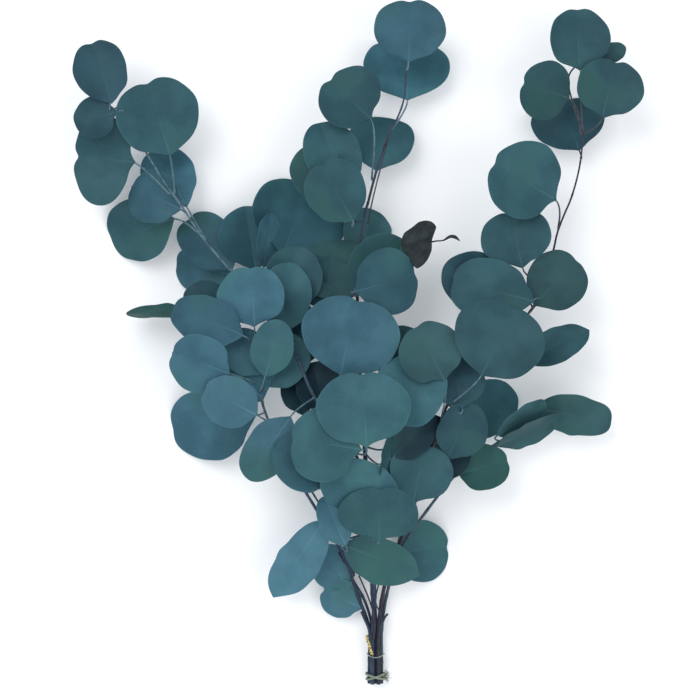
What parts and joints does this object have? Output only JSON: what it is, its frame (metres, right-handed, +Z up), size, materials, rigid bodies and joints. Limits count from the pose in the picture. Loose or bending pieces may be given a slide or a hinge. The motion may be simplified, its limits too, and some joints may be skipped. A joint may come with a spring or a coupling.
{
  "type": "eucalyptus branch",
  "caption": "A tied bunch of preserved round-leaf eucalyptus branches, dyed blue-green, lying on its back",
  "frame": {"origin": "centre of the bunch's box on X and Y, on the table that it lies on", "axes": "+Y runs from the cut ends to the tips, +X to the side, +Z up from the table"},
  "size_m": [0.4544, 0.5536, 0.0973],
  "materials": {
    "leaf_blue": "soft matt, with a faint bloom",
    "leaf_teal": "soft matt",
    "leaf_green": "soft matt",
    "leaf_deep": "matt",
    "leaf_pale": "soft matt, with a pale bloom",
    "leaf_grey": "matt",
    "leaf_dried": "dry and matt, crinkled",
    "bark": "dyed bark, smooth and matt",
    "bark_red": "dyed bark, smooth and matt",
    "bark_pale": "dyed green wood, matt",
    "wire": "gold coloured foil over wire",
    "twine": "twisted fibre"
  },
  "bodies": {
    "root": {"stem_left": "bark", "stem_mid_left": "bark", "stem_centre": "bark", "stem_right": "bark_red", "stem_low_right": "bark_pale", "stem_low_left": "bark", "leaf_left_10": "leaf_deep", "leaf_left_07": "leaf_teal", "leaf_left_06": "leaf_blue", "leaf_left_05": "leaf_blue", "leaf_left_09": "leaf_blue", "leaf_left_08": "leaf_blue", "leaf_top_04": "leaf_teal", "leaf_top_05": "leaf_grey", "leaf_top_02": "leaf_deep", "leaf_mid_01": "leaf_grey", "leaf_mid_08": "leaf_blue", "leaf_front_13": "leaf_teal", "leaf_right_05": "leaf_deep", "leaf_right_14": "leaf_teal", "leaf_left_03": "leaf_teal", "leaf_left_04": "leaf_teal", "leaf_left_01": "leaf_blue", "leaf_mid_02": "leaf_teal", "leaf_mid_03": "leaf_deep", "leaf_top_06": "leaf_teal", "leaf_top_07": "leaf_teal", "leaf_top_03": "leaf_teal", "leaf_top_01": "leaf_blue", "leaf_mid_05": "leaf_teal", "leaf_mid_04": "leaf_blue", "leaf_mid_06": "leaf_blue", "leaf_mid_10": "leaf_teal", "leaf_mid_07": "leaf_blue", "leaf_mid_09": "leaf_pale", "leaf_front_07": "leaf_pale", "leaf_front_08": "leaf_blue", "leaf_front_10": "leaf_teal", "leaf_front_12": "leaf_grey", "leaf_front_11": "leaf_teal", "leaf_front_14": "leaf_pale", "leaf_front_06": "leaf_teal", "leaf_front_01": "leaf_blue", "leaf_front_04": "leaf_teal", "leaf_right_09": "leaf_grey", "leaf_right_07": "leaf_teal", "leaf_right_10": "leaf_teal", "leaf_right_12": "leaf_teal", "leaf_right_16": "leaf_green", "leaf_right_15": "leaf_deep", "leaf_right_18": "leaf_grey", "leaf_right_02": "leaf_teal", "leaf_right_01": "leaf_teal", "leaf_right_03": "leaf_teal", "leaf_right_06": "leaf_teal", "leaf_right_11": "leaf_grey", "leaf_right_13": "leaf_teal", "leaf_dried": "leaf_dried", "tie_twine": "twine", "tie_wire": "wire"}
  },
  "joints": []
}
